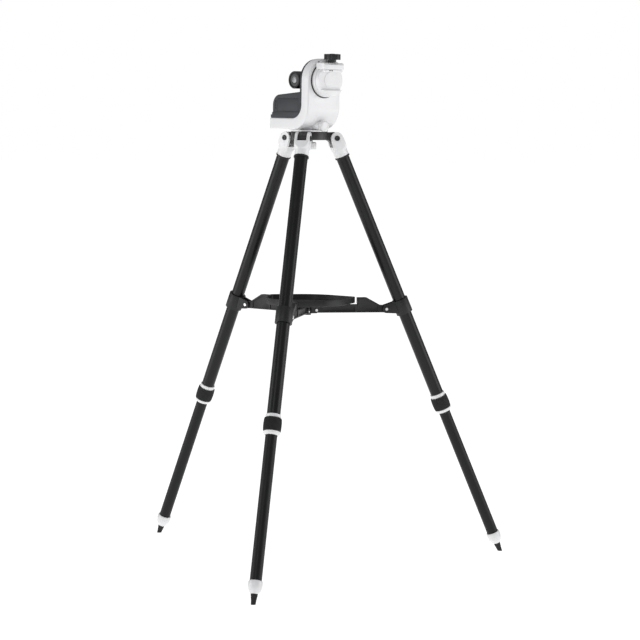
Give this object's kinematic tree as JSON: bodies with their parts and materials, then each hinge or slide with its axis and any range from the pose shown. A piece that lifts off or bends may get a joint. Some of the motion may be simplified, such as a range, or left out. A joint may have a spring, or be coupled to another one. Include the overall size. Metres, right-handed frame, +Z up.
{
  "type": "telescope mount on tripod",
  "caption": "Motorised altitude-azimuth telescope mount with a dovetail saddle, on a three-leg tripod with twist-lock legs, folding spreader and round tray.",
  "frame": {"origin": "on the ground, at the bottom centre of the box round the object", "axes": "+Z up; +X from the tripod's axis to the saddle side; -Y is the way the mount points"},
  "size_m": [0.898, 0.9665, 1.3255],
  "materials": {
    "white_plastic": "smooth satin white",
    "white_metal": "satin white paint",
    "black_rubber": "fine ribbed",
    "black_tube": "satin black powder coat",
    "black_plastic": "fine grain",
    "dark_plastic": "fine grain",
    "black_metal": "satin",
    "black_steel": "blackened",
    "steel": "bright",
    "brass": "machined",
    "cell_jacket": "gloss",
    "board": "solder resist",
    "lens": "polished"
  },
  "bodies": {
    "hub": {"hub": "black_metal", "hinge_bolts": "black_steel", "base_flange": "white_metal", "azimuth_wheel": "brass"},
    "mount_knob": {"mount_knob": "white_plastic"},
    "front_leg": {"front_clevis": "white_plastic", "front_upper_tube": "black_tube", "front_collar": "black_plastic", "front_collar_screws": "steel", "front_lock_ring": "white_plastic"},
    "front_lock": {"front_lock_nut": "white_plastic", "front_lock_grip": "black_rubber"},
    "front_lower_leg": {"front_lower_tube": "black_tube", "front_foot_cap": "white_plastic", "front_foot_tip": "black_rubber"},
    "front_arm": {"front_arm": "black_plastic"},
    "right_leg": {"right_clevis": "white_plastic", "right_upper_tube": "black_tube", "right_collar": "black_plastic", "right_collar_screws": "steel", "right_lock_ring": "white_plastic"},
    "right_lock": {"right_lock_nut": "white_plastic", "right_lock_grip": "black_rubber"},
    "right_lower_leg": {"right_lower_tube": "black_tube", "right_foot_cap": "white_plastic", "right_foot_tip": "black_rubber"},
    "right_arm": {"right_arm": "black_plastic"},
    "left_leg": {"left_clevis": "white_plastic", "left_upper_tube": "black_tube", "left_collar": "black_plastic", "left_collar_screws": "steel", "left_lock_ring": "white_plastic"},
    "left_lock": {"left_lock_nut": "white_plastic", "left_lock_grip": "black_rubber"},
    "left_lower_leg": {"left_lower_tube": "black_tube", "left_foot_cap": "white_plastic", "left_foot_tip": "black_rubber"},
    "left_arm": {"left_arm": "black_plastic"},
    "spreader": {"spreader_hub": "black_plastic", "spreader_pins": "steel"},
    "tray": {"tray": "black_plastic"},
    "head": {"shell": "white_plastic", "inner_housing": "dark_plastic", "battery_box": "dark_plastic", "battery_cells": "cell_jacket", "circuit_board": "board", "drive_motors": "steel", "altitude_washer": "black_plastic"},
    "azimuth_worm": {"azimuth_worm": "steel"},
    "altitude_worm": {"altitude_worm": "steel"},
    "azimuth_knob": {"azimuth_knob": "white_plastic"},
    "battery_door": {"battery_door": "dark_plastic"},
    "saddle": {"altitude_shaft": "steel", "altitude_wheel": "brass", "saddle_plate": "white_plastic", "clamp_bridge": "white_plastic", "sensor_barrel": "black_plastic", "sensor_lens": "lens"},
    "clamp_knob": {"clamp_knob": "black_plastic"},
    "saddle_jaw": {"saddle_jaw": "white_plastic"}
  },
  "joints": [
    {"name": "mount_knob_turn", "type": "hinge", "parent": "hub", "child": "mount_knob", "pos_m": [0.10827, -0.03377, 1.09], "axis": [0, 0, 1], "continuous": true},
    {"name": "front_leg_fold", "type": "hinge", "parent": "hub", "child": "front_leg", "pos_m": [0.15039, -0.08967, 1.11], "axis": [0.7986, 0.6018, 0], "range_deg": [0, 6]},
    {"name": "front_lock_turn", "type": "hinge", "parent": "front_leg", "child": "front_lock", "pos_m": [0.33518, -0.3349, 0.40605], "axis": [0.2406, -0.3193, -0.9166], "range_deg": [0, 120]},
    {"name": "front_leg_retract", "type": "slide", "parent": "front_leg", "child": "front_lower_leg", "axis": [-0.2406, 0.3193, 0.9166], "range_m": [0, 0.355]},
    {"name": "right_leg_fold", "type": "hinge", "parent": "hub", "child": "right_leg", "pos_m": [0.13562, 0.03067, 1.11], "axis": [-0.9205, 0.3907, 0], "range_deg": [0, 6.1]},
    {"name": "right_lock_turn", "type": "hinge", "parent": "right_leg", "child": "right_lock", "pos_m": [0.25559, 0.31331, 0.40605], "axis": [0.1562, 0.368, -0.9166], "range_deg": [0, 120]},
    {"name": "right_leg_retract", "type": "slide", "parent": "right_leg", "child": "right_lower_leg", "axis": [-0.1562, -0.368, 0.9166], "range_m": [0, 0.355]},
    {"name": "left_leg_fold", "type": "hinge", "parent": "hub", "child": "left_leg", "pos_m": [0.03879, -0.0423, 1.11], "axis": [0.1219, -0.9925, 0], "range_deg": [0, 6.1]},
    {"name": "left_lock_turn", "type": "hinge", "parent": "left_leg", "child": "left_lock", "pos_m": [-0.26598, -0.07972, 0.40605], "axis": [-0.3968, -0.0487, -0.9166], "range_deg": [0, 120]},
    {"name": "left_leg_retract", "type": "slide", "parent": "left_leg", "child": "left_lower_leg", "axis": [0.3968, 0.0487, 0.9166], "range_m": [0, 0.355]},
    {"name": "spreader_rise", "type": "slide", "parent": "hub", "child": "spreader", "axis": [0, 0, 1], "range_m": [0, 0.1161]},
    {"name": "front_arm_swing", "type": "hinge", "parent": "spreader", "child": "front_arm", "pos_m": [0.12151, -0.05134, 0.66264], "axis": [0.7986, 0.6018, 0], "range_deg": [0, 41.7]},
    {"name": "right_arm_swing", "type": "hinge", "parent": "spreader", "child": "right_arm", "pos_m": [0.11686, -0.01352, 0.66264], "axis": [-0.9205, 0.3907, 0], "range_deg": [0, 41.7]},
    {"name": "left_arm_swing", "type": "hinge", "parent": "spreader", "child": "left_arm", "pos_m": [0.08643, -0.03645, 0.66264], "axis": [0.1219, -0.9925, 0], "range_deg": [0, 41.7]},
    {"name": "tray_lift", "type": "slide", "parent": "spreader", "child": "tray", "axis": [0, 0, 1], "range_m": [0, 0.04]},
    {"name": "azimuth_turn", "type": "hinge", "parent": "hub", "child": "head", "pos_m": [0.10827, -0.03377, 1.14], "axis": [0, 0, 1], "continuous": true},
    {"name": "azimuth_worm_spin", "type": "hinge", "parent": "head", "child": "azimuth_worm", "pos_m": [0.07677, -0.03377, 1.1465], "axis": [0, -1, 0], "continuous": true},
    {"name": "altitude_worm_spin", "type": "hinge", "parent": "head", "child": "altitude_worm", "pos_m": [0.14927, 0.00973, 1.258], "axis": [0, 0, 1], "continuous": true},
    {"name": "azimuth_knob_turn", "type": "hinge", "parent": "head", "child": "azimuth_knob", "pos_m": [0.16527, -0.03377, 1.142], "axis": [1, 0, 0], "range_deg": [0, 180]},
    {"name": "battery_door_open", "type": "hinge", "parent": "head", "child": "battery_door", "pos_m": [0.08027, -0.08377, 1.1794], "axis": [1, 0, 0], "range_deg": [0, 85]},
    {"name": "altitude_turn", "type": "hinge", "parent": "head", "child": "saddle", "pos_m": [0.10827, -0.03377, 1.258], "axis": [-1, 0, 0], "range_deg": [-15, 90]},
    {"name": "clamp_knob_turn", "type": "hinge", "parent": "saddle", "child": "clamp_knob", "pos_m": [0.19577, -0.03377, 1.318], "axis": [0, 0, 1], "range_deg": [0, 1080]},
    {"name": "saddle_jaw_close", "type": "slide", "parent": "saddle", "child": "saddle_jaw", "axis": [0, 0, -1], "range_m": [0, 0.0031]}
  ],
  "couplings": [
    {"joint": "right_leg_fold", "follows": "front_leg_fold", "ratio": 1},
    {"joint": "left_leg_fold", "follows": "front_leg_fold", "ratio": 1},
    {"joint": "spreader_rise", "follows": "front_leg_fold", "m_per_rad": 1.09},
    {"joint": "front_arm_swing", "follows": "front_leg_fold", "ratio": 6.8505},
    {"joint": "right_arm_swing", "follows": "front_leg_fold", "ratio": 6.8505},
    {"joint": "left_arm_swing", "follows": "front_leg_fold", "ratio": 6.8505},
    {"joint": "saddle_jaw_close", "follows": "clamp_knob_turn", "m_per_rad": 0.00015915}
  ]
}
